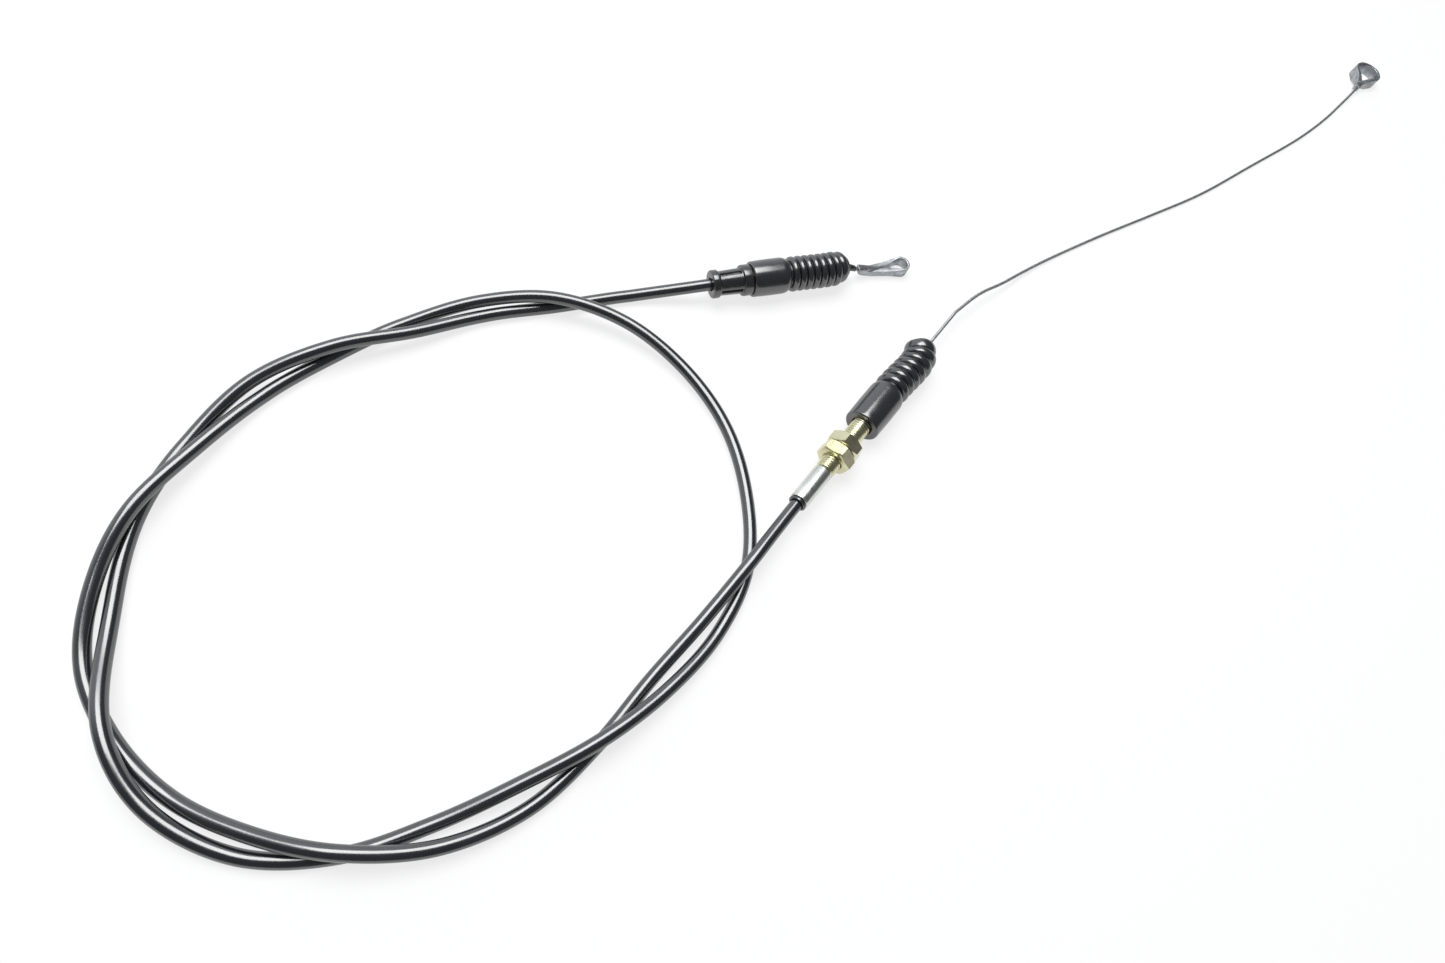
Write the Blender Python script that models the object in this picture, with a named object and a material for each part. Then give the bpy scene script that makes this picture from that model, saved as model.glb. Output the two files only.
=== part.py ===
"""Push-pull control cable: a sheathed cable lying in two loose turns, with a rubber bellows boot,
a fitting and a wire eye at each end. Lengths are in metres, +Z is up and the cable lies on z = 0."""

import math

import bmesh
import bpy
from mathutils import Vector

MM = 0.001

# Clearance between two pieces that touch
GAP = 0.3 * MM

# Sheath and inner wire
SHEATH_DIAMETER = 5.0 * MM
WIRE_DIAMETER = 1.5 * MM
LINER_WALL = 0.35 * MM
LINER_STICKS_OUT = 4.0 * MM
WIRE_TRAVEL = 25.0 * MM
END_PLAY = 1.0 * MM

# Height of both fittings' axes, so that their boots lie on the ground
AXIS_HEIGHT = 7.7 * MM

# End A: a moulded ferrule with a fluted bracket groove, ending in a spigot for the boot
END_A = (-115.8 * MM, 41.4 * MM)
FLANGE_WIDTH = 3.0 * MM
FLANGE_DIAMETER = 11.7 * MM
GROOVE_WIDTH = 10.4 * MM
GROOVE_DIAMETER = 10.4 * MM
GROOVE_TAPER = 0.15 * MM
COLLAR_WIDTH = 4.0 * MM
COLLAR_DIAMETER = 13.0 * MM
SPIGOT_LENGTH = 13.0 * MM
SPIGOT_DIAMETER = 9.0 * MM
FERRULE_EDGE = 0.5 * MM
SOCKET_DEPTH_A = 9.0 * MM
FLUTE_COUNT = 4
FLUTE_WIDTH = 1.3 * MM
FLUTE_DEPTH = 0.9 * MM
FLUTE_TURN = math.radians(6)

# End B: a seal, a crimped tube, a threaded adjuster and two lock nuts
END_B = (-111.0 * MM, -60.1 * MM)
AZIMUTH_B = math.radians(35.2)
SEAL_LENGTH = 1.0 * MM
SEAL_DIAMETER = 7.2 * MM
SEAL_EDGE = 0.25 * MM
CRIMP_LENGTH = 16.8 * MM
CRIMP_DIAMETER = 7.8 * MM
CRIMP_EDGE = 0.4 * MM
SOCKET_DEPTH_B = 8.0 * MM
THREAD_DIAMETER = 8.0 * MM
THREAD_LENGTH = 34.0 * MM
THREAD_CHAMFER = 0.7 * MM
NOSE_LENGTH = 9.0 * MM
NOSE_DIAMETER = 6.4 * MM
NUT_ACROSS_FLATS = 13.0 * MM
NUT_THICKNESS = 5.5 * MM
NUT_CHAMFER = 0.9 * MM
NUT_FACE_INSET = 0.2 * MM
NUT_BORE_CHAMFER = 0.4 * MM
NUT_FIRST_PLACE = 23.0 * MM
NUT_TURNS = (math.radians(14), math.radians(-7))
BOOT_B_PLACE = 44.3 * MM

# Bellows boots: a barrel that swells from its mouth, ribs, and a cap that closes on the wire
BARREL_DIAMETER = 15.2 * MM
MOUTH_DIAMETER = 14.8 * MM
BARREL_EDGE = 0.8 * MM
BARREL_SHOULDER = 3.6 * MM
BARREL_LENGTH_A = 17.6 * MM
BARREL_LENGTH_B = 22.4 * MM
RIB_COUNT_A = 8
RIB_COUNT_B = 7
RIB_PITCH_A = 3.2 * MM
RIB_PITCH_B = 4.05 * MM
RIB_DIAMETER = 14.8 * MM
LAST_RIB_DIAMETER = 13.4 * MM
RIB_VALLEY_DIAMETER = 11.4 * MM
BOOT_WALL = 1.3 * MM
CAP_THICKNESS = 1.8 * MM
CAP_DIAMETER = 9.6 * MM
CAP_GROOVE = 0.3 * MM
LEAN_A = 0.3 * MM
TIP_SHIFT_A = 0.8 * MM
LEAN_B = 1.2 * MM
TIP_SHIFT_B = 2.4 * MM
WIPER_CLEARANCE = 0.35 * MM

# Sleeve and eye on the wire at end A, where the wire droops to the ground beyond the boot
SLEEVE_LENGTH = 5.2 * MM
SLEEVE_DIAMETER = 3.3 * MM
SLEEVE_TIP_DIAMETER = 2.7 * MM
EYE_A_LENGTH = 26.0 * MM
EYE_A_WIDTH = 7.8 * MM
EYE_A_BAND = 5.2 * MM
EYE_A_WALL = 1.1 * MM
EYE_A_HOLE_LENGTH = 11.0 * MM
EYE_A_NECK = 4.5 * MM
EYE_A_FLARE_START = 13.0 * MM
EYE_A_FLARE_END = 24.0 * MM
BARE_WIRE_A = 1.6 * MM
DROOP_LENGTH = 15.0 * MM

# Teardrop eye on the wire at end B
EYE_B = (325.5 * MM, 125.7 * MM)
EYE_B_AZIMUTH = math.radians(33.2)
EYE_B_LENGTH = 25.4 * MM
EYE_B_WIDTH = 15.7 * MM
EYE_B_BAND = 6.0 * MM
EYE_B_WALL = 1.5 * MM
EYE_B_HOLE_LENGTH = 17.0 * MM
EYE_B_NECK = 4.0 * MM
EYE_B_FLARE_START = 4.0 * MM
EYE_B_FLARE_END = 11.0 * MM

# Crimped neck of each eye: how far the wire goes into it, and its straight run just before it
NECK_DIAMETER = 3.1 * MM
NECK_BORE_DEPTH = 3.6 * MM
NECK_APPROACH = 3.0 * MM

# Route of the sheath between the two fittings, in millimetres: x, y and height of its centre
SHEATH_ROUTE = [
    (-120, 41.4, 7.6), (-147, 44.5, 2.7), (-180, 44, 2.5), (-208, 44, 2.5), (-235, 39, 5.5),
    (-263, 35.5, 8.4), (-291.5, 27.5, 5.6), (-313.5, 9, 2.5), (-330, -16, 2.5), (-338.5, -50, 2.9),
    (-339.6, -84, 8.4), (-331, -108, 5.7), (-310, -127.5, 2.5), (-283, -135.5, 2.5),
    (-256, -134.5, 2.5), (-229, -130.5, 5.5), (-203, -125, 8.4), (-178, -115, 5.4), (-154.5, -100, 2.5),
    (-136.5, -79, 2.5), (-128, -51, 2.5), (-127.5, -21, 2.5), (-137, 6, 4.3), (-155, 29, 7.3),
    (-180, 44, 8.4), (-208, 49, 5.5), (-236, 45.5, 2.5), (-263, 35.5, 2.5), (-289, 22.5, 2.5),
    (-310.5, 4.5, 5.5), (-330, -16, 8.4), (-341.5, -37, 5.5), (-346.2, -60.5, 2.5), (-340, -84, 2.5),
    (-326, -106, 2.5), (-306, -122.5, 5.4), (-282.5, -135, 8.4), (-255.5, -141.5, 5.5),
    (-228, -138, 2.5), (-203, -125, 2.5), (-181.5, -109.5, 2.5), (-158.5, -94.5, 5.4),
    (-136.5, -79, 8.4), (-124, -69.6, 8.1), (-114.5, -62.6, 7.8),
]

# Route of the bare wire from its straight run at end B to the eye, in millimetres
WIRE_ROUTE = [
    (6, 18.8, 6.4), (22, 24, 4.3), (38, 30, 2.2), (56.5, 36, 1.0), (92.5, 45.4, 0.75),
    (128, 53.6, 0.75), (166.5, 63, 0.75), (211, 77.6, 0.75), (259, 93.8, 0.75), (288, 106, 0.75),
    (306, 115, 1.0),
]

ROUND_SIDES = 24
BOOT_SIDES = 20
SMALL_SIDES = 16
CUTTER_SIDES = 36
SHEATH_POINT_COUNT = 80
WIRE_POINT_COUNT = 64

# Colours, roughness and metallic value
FINISHES = {
    "sheath_pvc": ((0.012, 0.013, 0.016), 0.22, 0.0),
    "moulded_black": ((0.014, 0.014, 0.016), 0.28, 0.0),
    "boot_rubber": ((0.018, 0.018, 0.02), 0.38, 0.0),
    "sleeve_black": ((0.01, 0.01, 0.012), 0.45, 0.0),
    "liner_white": ((0.78, 0.78, 0.74), 0.4, 0.0),
    "wire_steel": ((0.4, 0.4, 0.42), 0.35, 1.0),
    "zinc_silver": ((0.66, 0.67, 0.66), 0.28, 1.0),
    "zinc_yellow": ((0.66, 0.6, 0.34), 0.3, 1.0),
    "eye_zinc": ((0.45, 0.47, 0.49), 0.36, 1.0),
}


def clear_scene():
    for old in list(bpy.data.objects):
        bpy.data.objects.remove(old)


def finish(name):
    """The named material, made once."""
    material = bpy.data.materials.get(name)
    if material:
        return material
    colour, roughness, metallic = FINISHES[name]
    material = bpy.data.materials.new(name)
    material.use_nodes = True
    shader = material.node_tree.nodes["Principled BSDF"]
    shader.inputs["Base Color"].default_value = (*colour, 1.0)
    shader.inputs["Roughness"].default_value = roughness
    shader.inputs["Metallic"].default_value = metallic
    return material


def axis_empty(name, place, azimuth=0.0, parent=None):
    """An empty whose local X is the axis of what hangs on it."""
    empty = bpy.data.objects.new(name, None)
    bpy.context.scene.collection.objects.link(empty)
    empty.location = place
    empty.rotation_euler = (0.0, 0.0, azimuth)
    empty.parent = parent
    return empty


def object_from(bm, name, material, parent=None):
    """Closes the bmesh into a smooth-shaded object with its faces pointing out."""
    bmesh.ops.recalc_face_normals(bm, faces=bm.faces)
    mesh = bpy.data.meshes.new(name)
    bm.to_mesh(mesh)
    bm.free()
    mesh.shade_smooth()
    mesh.set_sharp_from_angle(angle=math.radians(35))
    mesh.materials.append(finish(material))
    made = bpy.data.objects.new(name, mesh)
    bpy.context.scene.collection.objects.link(made)
    made.parent = parent
    return made


def loft(rings, sides, closed):
    """A skin through rings (place along X, radius, sideways shift, height shift) around local X.

    Closed rings join the last to the first, as a tube's section does, and open ones get end caps."""
    bm = bmesh.new()
    loops = []
    for along, radius, aside, lift in rings:
        loop = []
        for side in range(sides):
            angle = 2 * math.pi * (side + 0.5) / sides
            place = (along, aside + radius * math.cos(angle), lift + radius * math.sin(angle))
            loop.append(bm.verts.new(place))
        loops.append(loop)
    pairs = list(zip(loops, loops[1:]))
    if closed:
        pairs.append((loops[-1], loops[0]))
    for here, there in pairs:
        for side in range(sides):
            after = (side + 1) % sides
            bm.faces.new((here[side], here[after], there[after], there[side]))
    if not closed:
        bm.faces.new(loops[0])
        bm.faces.new(loops[-1])
    return bm


def turned(name, outline, material, parent, sides=ROUND_SIDES):
    """A hollow turned piece from the closed outline of its wall: (place along X, radius)."""
    rings = [(along, radius, 0.0, 0.0) for along, radius in outline]
    return object_from(loft(rings, sides, closed=True), name, material, parent)


def cut(piece, cutter, operation="DIFFERENCE"):
    """Cuts the piece with a hidden cutter, or keeps only what both share."""
    cutter.hide_render = True
    cutter.display_type = "WIRE"
    boolean = piece.modifiers.new(cutter.name, "BOOLEAN")
    boolean.operation = operation
    boolean.solver = "EXACT"
    boolean.object = cutter


def smooth_route(points, count, lowest):
    """Evenly spaced points on a smooth curve through the given ones, none of them lower than asked."""
    ends = [points[0] * 2 - points[1]] + points + [points[-1] * 2 - points[-2]]
    steps = 12
    dense = []
    for before, start, stop, after in zip(ends, ends[1:], ends[2:], ends[3:]):
        gaps = [(start - before).length ** 0.5, (stop - start).length ** 0.5, (after - stop).length ** 0.5]
        middle = (stop - start) / gaps[1]
        slope_in = (start - before) / gaps[0] - (stop - before) / (gaps[0] + gaps[1]) + middle
        slope_out = middle - (after - start) / (gaps[1] + gaps[2]) + (after - stop) / gaps[2]
        for step in range(steps):
            t = step / steps
            dense.append(
                start * (2 * t**3 - 3 * t**2 + 1)
                + slope_in * gaps[1] * (t**3 - 2 * t**2 + t)
                + stop * (3 * t**2 - 2 * t**3)
                + slope_out * gaps[1] * (t**3 - t**2)
            )
    dense.append(points[-1])
    lengths = [0.0]
    for here, there in zip(dense, dense[1:]):
        lengths.append(lengths[-1] + (there - here).length)
    even = []
    index = 0
    for step in range(count):
        target = lengths[-1] * step / (count - 1)
        while index < len(lengths) - 2 and lengths[index + 1] < target:
            index += 1
        share = (target - lengths[index]) / (lengths[index + 1] - lengths[index])
        place = dense[index].lerp(dense[index + 1], min(1.0, share))
        place.z = max(place.z, lowest)
        even.append(place)
    return even


def cord(name, points, diameter, material, resolution=2):
    """A round cord along the points, with filled caps."""
    curve = bpy.data.curves.new(name, "CURVE")
    curve.dimensions = "3D"
    curve.bevel_depth = diameter / 2
    curve.bevel_resolution = resolution
    curve.use_fill_caps = True
    spline = curve.splines.new("POLY")
    spline.points.add(len(points) - 1)
    for target, place in zip(spline.points, points):
        target.co = (*place, 1.0)
    curve.materials.append(finish(material))
    made = bpy.data.objects.new(name, curve)
    bpy.context.scene.collection.objects.link(made)
    return made


def place_a(along, height=AXIS_HEIGHT):
    """World place of a point on end A's axis, measured from the ferrule's outer face."""
    return Vector((END_A[0] + along, END_A[1], height))


def place_b(along):
    """World place of a point on end B's axis, measured from the crimp tube's outer face."""
    ahead = Vector((math.cos(AZIMUTH_B), math.sin(AZIMUTH_B), 0.0))
    return Vector((END_B[0], END_B[1], AXIS_HEIGHT)) + ahead * along


# Radii of the bores that the sheath, the liner and the wire lie in
SHEATH_BORE = SHEATH_DIAMETER / 2 + GAP
WIRE_BORE = WIRE_DIAMETER / 2 + GAP
LINER_RADIUS = WIRE_BORE + LINER_WALL
LINER_BORE = LINER_RADIUS + GAP

# Stations along end A, from the ferrule's outer face
COLLAR_A = FLANGE_WIDTH + GROOVE_WIDTH
SPIGOT_A = COLLAR_A + COLLAR_WIDTH
FERRULE_A_END = SPIGOT_A + SPIGOT_LENGTH
JACKET_END_A = SOCKET_DEPTH_A - GAP
BOOT_A_PLACE = SPIGOT_A + GAP
BELLOWS_A = BOOT_A_PLACE + BARREL_LENGTH_A
BOOT_A_END = BELLOWS_A + RIB_COUNT_A * RIB_PITCH_A + CAP_THICKNESS
SLEEVE_START = BOOT_A_END + GAP
SLEEVE_END = SLEEVE_START + SLEEVE_LENGTH
EYE_A_PLACE = SLEEVE_END + BARE_WIRE_A
EYE_A_HEIGHT = EYE_A_BAND / 2

# Stations along end B, from the crimp tube's outer face
JACKET_END_B = SOCKET_DEPTH_B - GAP
THREAD_START = CRIMP_LENGTH + GAP
THREAD_END = THREAD_START + THREAD_LENGTH
ADJUSTER_END = THREAD_END + NOSE_LENGTH
BELLOWS_B = BOOT_B_PLACE + BARREL_LENGTH_B
BOOT_B_END = BELLOWS_B + RIB_COUNT_B * RIB_PITCH_B + CAP_THICKNESS
WIRE_B_START = SOCKET_DEPTH_B + WIRE_TRAVEL + END_PLAY
WIRE_B_STRAIGHT_END = BOOT_B_END + WIRE_TRAVEL + END_PLAY


def droop(along):
    """How far the wire at end A hangs below its axis, beyond the boot."""
    start = BOOT_A_END - CAP_THICKNESS / 2
    share = min(1.0, max(0.0, (along - start) / DROOP_LENGTH))
    return (EYE_A_HEIGHT - AXIS_HEIGHT) * share * share * (3 - 2 * share)


def make_sheath():
    """The sheath: straight inside both fittings, and two loose turns between them."""
    outside = [Vector(place) * MM for place in SHEATH_ROUTE]
    inside_a = [place_a(JACKET_END_A), place_a(JACKET_END_A / 2)]
    inside_b = [place_b(JACKET_END_B / 2), place_b(JACKET_END_B)]
    count = SHEATH_POINT_COUNT - len(inside_a) - len(inside_b)
    route = smooth_route([place_a(0.0)] + outside + [place_b(0.0)], count, SHEATH_DIAMETER / 2)
    cord("outer_cable", inside_a + route + inside_b, SHEATH_DIAMETER, "sheath_pvc", resolution=3)


def make_liner(name, start, end, parent):
    """The plastic liner that sticks out of the conduit and guides the wire."""
    outline = [(start, LINER_RADIUS), (end, LINER_RADIUS), (end, WIRE_BORE), (start, WIRE_BORE)]
    turned(name, outline, "liner_white", parent, sides=SMALL_SIDES)


def make_flute_cutter(name, angle, parent):
    """A bar that cuts one lengthwise flute between the flange and the collar."""
    start = FLANGE_WIDTH + FERRULE_EDGE
    end = COLLAR_A - FERRULE_EDGE
    floor = GROOVE_DIAMETER / 2 - FLUTE_DEPTH
    top = COLLAR_DIAMETER / 2
    bm = bmesh.new()
    bmesh.ops.create_cube(bm, size=1.0)
    for vert in bm.verts:
        vert.co.x = start + (end - start) * (vert.co.x + 0.5)
        vert.co.y *= FLUTE_WIDTH
        vert.co.z = floor + (top - floor) * (vert.co.z + 0.5)
    cutter = object_from(bm, name, "moulded_black", parent)
    cutter.rotation_euler = (angle, 0.0, 0.0)
    return cutter


def make_ferrule_a(parent):
    """Moulded ferrule: outer flange, fluted bracket groove, collar and the spigot under the boot."""
    edge = FERRULE_EDGE
    flange = FLANGE_DIAMETER / 2
    groove = GROOVE_DIAMETER / 2
    collar = COLLAR_DIAMETER / 2
    spigot = SPIGOT_DIAMETER / 2
    outline = [
        (0.0, flange - edge),
        (edge, flange),
        (FLANGE_WIDTH - edge, flange),
        (FLANGE_WIDTH, flange - edge),
        (FLANGE_WIDTH + edge, groove - GROOVE_TAPER),
        (COLLAR_A, groove + GROOVE_TAPER),
        (COLLAR_A, collar - edge),
        (COLLAR_A + edge, collar),
        (SPIGOT_A, collar),
        (SPIGOT_A, spigot),
        (FERRULE_A_END - edge, spigot),
        (FERRULE_A_END, spigot - edge),
        (FERRULE_A_END, LINER_BORE),
        (SOCKET_DEPTH_A, LINER_BORE),
        (SOCKET_DEPTH_A, SHEATH_BORE),
        (0.0, SHEATH_BORE),
    ]
    ferrule = turned("end_ferrule_a", outline, "moulded_black", parent)
    for index in range(FLUTE_COUNT):
        angle = FLUTE_TURN + 2 * math.pi * index / FLUTE_COUNT
        cut(ferrule, make_flute_cutter(f"flute_{index + 1}", angle, parent))


def rib_outline(start, pitch, radius, valley):
    """One rounded rib of a bellows, from valley to the edge of the next valley."""
    height = radius - valley
    shape = ((0.0, 0.0), (0.1, 0.5), (0.27, 0.88), (0.5, 1.0), (0.73, 0.88), (0.9, 0.5))
    return [(start + pitch * share, valley + height * lift) for share, lift in shape]


def barrel_outline(place, neck):
    """Outside of a boot's barrel: rounded mouth, slight swell, and a shoulder down to the neck."""
    mouth = MOUTH_DIAMETER / 2
    outer = BARREL_DIAMETER / 2
    drop = outer - RIB_VALLEY_DIAMETER / 2
    outline = [
        (place, mouth - BARREL_EDGE),
        (place + BARREL_EDGE / 3, mouth - BARREL_EDGE / 3),
        (place + BARREL_EDGE, mouth),
        ((place + neck) / 2, outer),
    ]
    steps = 4
    for step in range(steps):
        turn = math.pi / 2 * step / steps
        along = neck - BARREL_SHOULDER * (1 - math.sin(turn))
        outline.append((along, outer - drop * (1 - math.cos(turn))))
    return outline


def make_boot(name, place, barrel, ribs, pitch, seat_diameter, lean, tip_shift, parent):
    """Rubber boot: a smooth barrel on its seat, a neck, a bellows of round ribs and a wiper lip."""
    valley = RIB_VALLEY_DIAMETER / 2
    seat = seat_diameter / 2 + GAP
    lip = WIRE_DIAMETER / 2 + WIPER_CLEARANCE
    neck = place + barrel
    bellows = ribs * pitch
    cap = neck + bellows
    end = cap + CAP_THICKNESS
    crests = [RIB_DIAMETER / 2] * (ribs - 1) + [LAST_RIB_DIAMETER / 2]

    def bowed(along):
        """Sideways shift of the bellows, which leans one way and tips back the other way at its end."""
        share = min(1.0, max(0.0, (along - neck) / bellows))
        return tip_shift * share**6 - lean * math.sin(math.pi * share**2)

    outline = barrel_outline(place, neck)
    for index, crest in enumerate(crests):
        outline += rib_outline(neck + pitch * index, pitch, crest, valley)
    outline += [(cap, valley - CAP_GROOVE), (cap + CAP_THICKNESS / 2, CAP_DIAMETER / 2)]
    outline += [(end, CAP_DIAMETER / 2 - BARREL_EDGE)]
    rings = [(along, radius, bowed(along), 0.0) for along, radius in outline]
    rings += [(end, lip, 0.0, 0.0), (cap, lip, 0.0, 0.0)]
    rings.append((cap, CAP_DIAMETER / 2 - BOOT_WALL, bowed(end), 0.0))
    for index in reversed(range(ribs)):
        start = neck + pitch * index
        middle = start + pitch / 2
        rings.append((middle, crests[index] - BOOT_WALL, bowed(middle), 0.0))
        if index > 0:
            rings.append((start, valley - BOOT_WALL, bowed(start), 0.0))
    rings += [(neck - BOOT_WALL, seat, 0.0, 0.0), (place + BARREL_EDGE, seat, 0.0, 0.0)]
    rings += [(place, seat + BARREL_EDGE / 2, 0.0, 0.0)]
    return object_from(loft(rings, BOOT_SIDES, closed=True), name, "boot_rubber", parent)


def make_seal_b(parent):
    """Thin black seal round the sheath, just before it enters the crimp tube."""
    outer = SEAL_DIAMETER / 2
    start = -GAP - SEAL_LENGTH
    end = -GAP
    outline = [
        (start, outer - SEAL_EDGE),
        (start + SEAL_EDGE, outer),
        (end - SEAL_EDGE, outer),
        (end, outer - SEAL_EDGE),
        (end, SHEATH_BORE),
        (start, SHEATH_BORE),
    ]
    turned("sheath_seal_b", outline, "moulded_black", parent)


def make_crimp_b(parent):
    """Smooth metal tube that is crimped on the sheath and carries the adjuster."""
    outer = CRIMP_DIAMETER / 2
    outline = [
        (0.0, outer - CRIMP_EDGE),
        (CRIMP_EDGE, outer),
        (CRIMP_LENGTH - CRIMP_EDGE, outer),
        (CRIMP_LENGTH, outer - CRIMP_EDGE),
        (CRIMP_LENGTH, SHEATH_BORE),
        (0.0, SHEATH_BORE),
    ]
    turned("crimp_tube_b", outline, "zinc_silver", parent)


def make_adjuster_b(parent):
    """Hollow screw with a tail in the crimp tube and a plain nose inside the boot."""
    outer = THREAD_DIAMETER / 2
    tail = SHEATH_BORE - GAP
    nose = NOSE_DIAMETER / 2
    outline = [
        (SOCKET_DEPTH_B, tail),
        (THREAD_START, tail),
        (THREAD_START, outer - THREAD_CHAMFER),
        (THREAD_START + THREAD_CHAMFER, outer),
        (THREAD_END - THREAD_CHAMFER, outer),
        (THREAD_END, outer - THREAD_CHAMFER),
        (THREAD_END, nose),
        (ADJUSTER_END - THREAD_CHAMFER / 2, nose),
        (ADJUSTER_END, nose - THREAD_CHAMFER / 2),
        (ADJUSTER_END, LINER_BORE),
        (SOCKET_DEPTH_B, LINER_BORE),
    ]
    turned("threaded_adjuster_b", outline, "zinc_yellow", parent)


def make_nut(name, place, turn):
    """Hexagon lock nut with both faces chamfered, on its own empty on the screw's axis."""
    parent = axis_empty(name + "_axis", place_b(place), AZIMUTH_B)
    flats = NUT_ACROSS_FLATS / 2
    corner = flats / math.cos(math.pi / 6)
    bore = THREAD_DIAMETER / 2 + GAP
    prism = bmesh.new()
    loops = []
    for along in (0.0, NUT_THICKNESS):
        angles = [turn + math.radians(60) * side for side in range(6)]
        loops.append([prism.verts.new((along, corner * math.cos(a), corner * math.sin(a))) for a in angles])
    prism.faces.new(loops[0])
    prism.faces.new(loops[1])
    for side in range(6):
        after = (side + 1) % 6
        prism.faces.new((loops[0][side], loops[0][after], loops[1][after], loops[1][side]))
    nut = object_from(prism, name, "zinc_yellow", parent)
    face = flats - NUT_FACE_INSET
    rim = corner + NUT_CHAMFER
    chamfer = NUT_CHAMFER * (rim - face) / (corner - face)
    outline = [
        (0.0, face),
        (chamfer, rim),
        (NUT_THICKNESS - chamfer, rim),
        (NUT_THICKNESS, face),
        (NUT_THICKNESS, bore + NUT_BORE_CHAMFER),
        (NUT_THICKNESS - NUT_BORE_CHAMFER, bore),
        (NUT_BORE_CHAMFER, bore),
        (0.0, bore + NUT_BORE_CHAMFER),
    ]
    cones = turned(name + "_chamfer", outline, "zinc_yellow", parent, sides=CUTTER_SIDES)
    cut(nut, cones, "INTERSECT")


def make_sleeve_a(parent):
    """Short black sleeve on the wire, tapered towards the eye."""
    start = SLEEVE_DIAMETER / 2
    tip = SLEEVE_TIP_DIAMETER / 2
    stations = 5
    rings = []
    for step in range(stations):
        share = step / (stations - 1)
        rings.append((SLEEVE_START + SLEEVE_LENGTH * share, start + (tip - start) * share**2))
    rings += [(along, WIRE_BORE) for along, radius in reversed(rings)]
    drooped = [(along, radius, 0.0, droop(along)) for along, radius in rings]
    object_from(loft(drooped, SMALL_SIDES, closed=True), "wire_sleeve_a", "sleeve_black", parent)


def teardrop(apex, centre, radius, steps):
    """Half outline of a teardrop, from its apex (x, y) along the tangent and round the circle."""
    reach = math.hypot(centre - apex[0], apex[1])
    tangent = math.asin(radius / reach) - math.atan2(apex[1], centre - apex[0])
    first = math.pi / 2 + tangent
    points = [apex]
    contact = (centre + radius * math.cos(first), radius * math.sin(first))
    straight = 4
    for step in range(1, straight):
        share = step / straight
        points.append((apex[0] + (contact[0] - apex[0]) * share, apex[1] + (contact[1] - apex[1]) * share))
    for step in range(steps):
        angle = first * (1 - step / steps)
        points.append((centre + radius * math.cos(angle), radius * math.sin(angle)))
    points.append((centre + radius, 0.0))
    return points


def mirrored(half):
    """The closed outline whose upper half is given, from the axis or a flat end round to the axis."""
    lower = [(x, -y) for x, y in reversed(half[:-1]) if y > 0]
    return half + lower


def make_eye(name, length, width, band, wall, hole_length, neck, flare, parent, shift):
    """Wire eye: a crimped square neck that widens into a flat band bent round a teardrop hole.

    The eye starts at local x = 0, and its band reaches its full height between the two places of flare.
    shift(x) is how far its middle lies above the band's own."""
    radius = width / 2
    centre = length - radius
    half_neck = NECK_DIAMETER / 2
    outer = [(0.0, half_neck)] + teardrop((neck, half_neck), centre, radius, 7)
    hole_radius = radius - wall
    hole = teardrop((centre + hole_radius - hole_length, 0.0), centre, hole_radius, 6)
    bm = bmesh.new()
    loops = []
    for outline in (mirrored(outer), mirrored(hole)):
        verts = [bm.verts.new((x, y, 0.0)) for x, y in outline]
        loops += [bm.edges.new(pair) for pair in zip(verts, verts[1:] + verts[:1])]
    bmesh.ops.triangle_fill(bm, use_beauty=True, edges=loops)
    lower = list(bm.verts)
    grown = bmesh.ops.extrude_face_region(bm, geom=list(bm.faces))
    upper = [item for item in grown["geom"] if isinstance(item, bmesh.types.BMVert)]
    for verts, sign in ((lower, -1.0), (upper, 1.0)):
        for vert in verts:
            share = min(1.0, max(0.0, (vert.co.x - flare[0]) / (flare[1] - flare[0])))
            half = half_neck + (band / 2 - half_neck) * share * share * (3 - 2 * share)
            vert.co.z = sign * half + shift(vert.co.x)
    eye = object_from(bm, name, "eye_zinc", parent)
    stations = 5
    rings = []
    for step in range(stations):
        along = (NECK_BORE_DEPTH + WIRE_DIAMETER) * step / (stations - 1) - WIRE_DIAMETER
        rings.append((along, WIRE_BORE, 0.0, shift(along)))
    bore = object_from(loft(rings, SMALL_SIDES, closed=False), name + "_bore", "eye_zinc", parent)
    cut(eye, bore)


def make_wire_a():
    """The stretch of inner wire at end A, from inside the liner to the eye's neck."""
    start = SOCKET_DEPTH_A + GAP
    bend = BOOT_A_END - CAP_THICKNESS / 2
    end = EYE_A_PLACE + NECK_BORE_DEPTH - GAP
    stations = [start, (start + bend) / 2, bend]
    steps = 9
    stations += [bend + (end - bend) * (step + 1) / steps for step in range(steps)]
    points = [place_a(along, AXIS_HEIGHT + droop(along)) for along in stations]
    cord("inner_wire_a", points, WIRE_DIAMETER, "wire_steel")


def make_wire_b():
    """The stretch of inner wire at end B: straight through the boot, then loose to its eye."""
    ahead = Vector((math.cos(EYE_B_AZIMUTH), math.sin(EYE_B_AZIMUTH), 0.0))
    neck = Vector((EYE_B[0], EYE_B[1], EYE_B_BAND / 2))
    tail = [neck - ahead * NECK_APPROACH, neck + ahead * (NECK_BORE_DEPTH - GAP)]
    loose = [place_b(WIRE_B_STRAIGHT_END)] + [Vector(place) * MM for place in WIRE_ROUTE] + tail
    straight = [WIRE_B_START, (WIRE_B_START + BOOT_B_END) / 2, BOOT_B_END, BOOT_B_END + WIRE_TRAVEL / 2]
    points = [place_b(along) for along in straight]
    points += smooth_route(loose, WIRE_POINT_COUNT - len(straight), WIRE_DIAMETER / 2)
    cord("inner_wire_b", points, WIRE_DIAMETER, "wire_steel")


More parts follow.
